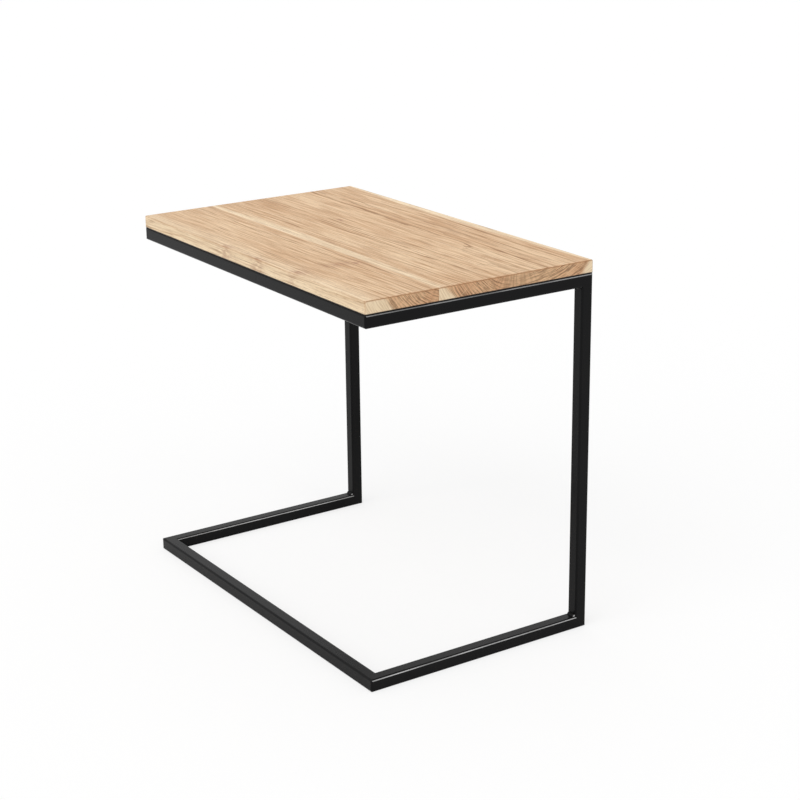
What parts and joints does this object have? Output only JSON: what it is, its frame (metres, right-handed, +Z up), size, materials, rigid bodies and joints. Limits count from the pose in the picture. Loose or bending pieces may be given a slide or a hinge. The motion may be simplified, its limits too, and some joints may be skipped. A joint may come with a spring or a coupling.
{
  "type": "c-shaped side table",
  "caption": "C-shaped side table: a flat oak top on a welded frame of square steel tube, with uprights at the rear only and a floor base open at the rear, so that it reaches over a seat.",
  "frame": {"origin": "on the floor, under the middle of the table's outline", "axes": "+X along the long side, from left to right; +Y from the open front to the uprights at the rear; +Z up"},
  "size_m": [0.665, 0.4, 0.59],
  "materials": {
    "oak": "matt oiled oak",
    "black_steel": "satin black powder coat",
    "zinc_steel": "zinc plated"
  },
  "bodies": {
    "root": {"front_stave": "oak", "rear_stave": "oak", "top_front_rail": "black_steel", "top_rear_rail": "black_steel", "top_left_rail": "black_steel", "top_right_rail": "black_steel", "left_upright": "black_steel", "right_upright": "black_steel", "left_runner": "black_steel", "right_runner": "black_steel", "base_front_rail": "black_steel", "left_foot_weld": "black_steel", "right_foot_weld": "black_steel", "left_head_weld": "black_steel", "right_head_weld": "black_steel", "left_rear_weld": "black_steel", "right_rear_weld": "black_steel", "top_screws": "zinc_steel", "screw_washers": "zinc_steel"}
  },
  "joints": []
}
